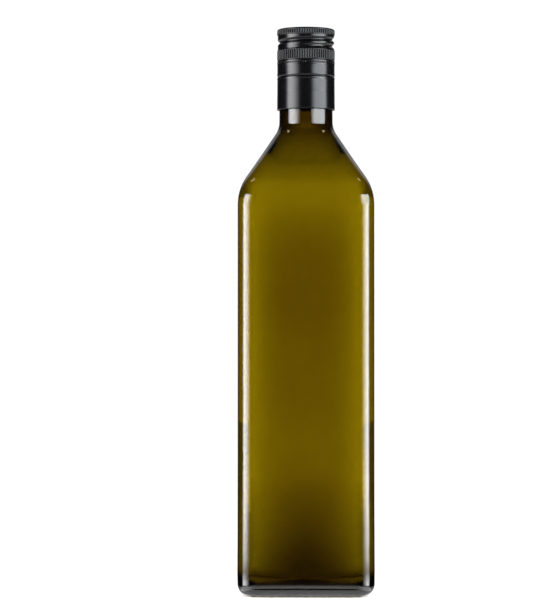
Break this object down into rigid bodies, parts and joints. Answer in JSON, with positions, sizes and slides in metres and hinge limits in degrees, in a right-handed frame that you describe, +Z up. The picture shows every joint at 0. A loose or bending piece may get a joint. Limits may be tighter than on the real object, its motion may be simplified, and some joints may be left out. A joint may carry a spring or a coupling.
{
  "type": "oil bottle",
  "caption": "Tall square olive-green glass oil bottle with rounded corners, sloping shoulders, a short round neck and a long black screw cap, filled with oil.",
  "frame": {"origin": "centre of the base, on the surface that the bottle stands on", "axes": "+Z up along the bottle's axis, the front face looks along -Y, all four sides are alike"},
  "size_m": [0.0746, 0.0746, 0.3103],
  "materials": {
    "olive_glass": "olive-green bottle glass, polished by the mould",
    "olive_oil": "clear golden-green vegetable oil, a liquid",
    "black_lacquer": "satin black lacquer on thin rolled aluminium"
  },
  "bodies": {
    "root": {"bottle": "olive_glass", "oil": "olive_oil", "screw_cap": "black_lacquer"}
  },
  "joints": []
}
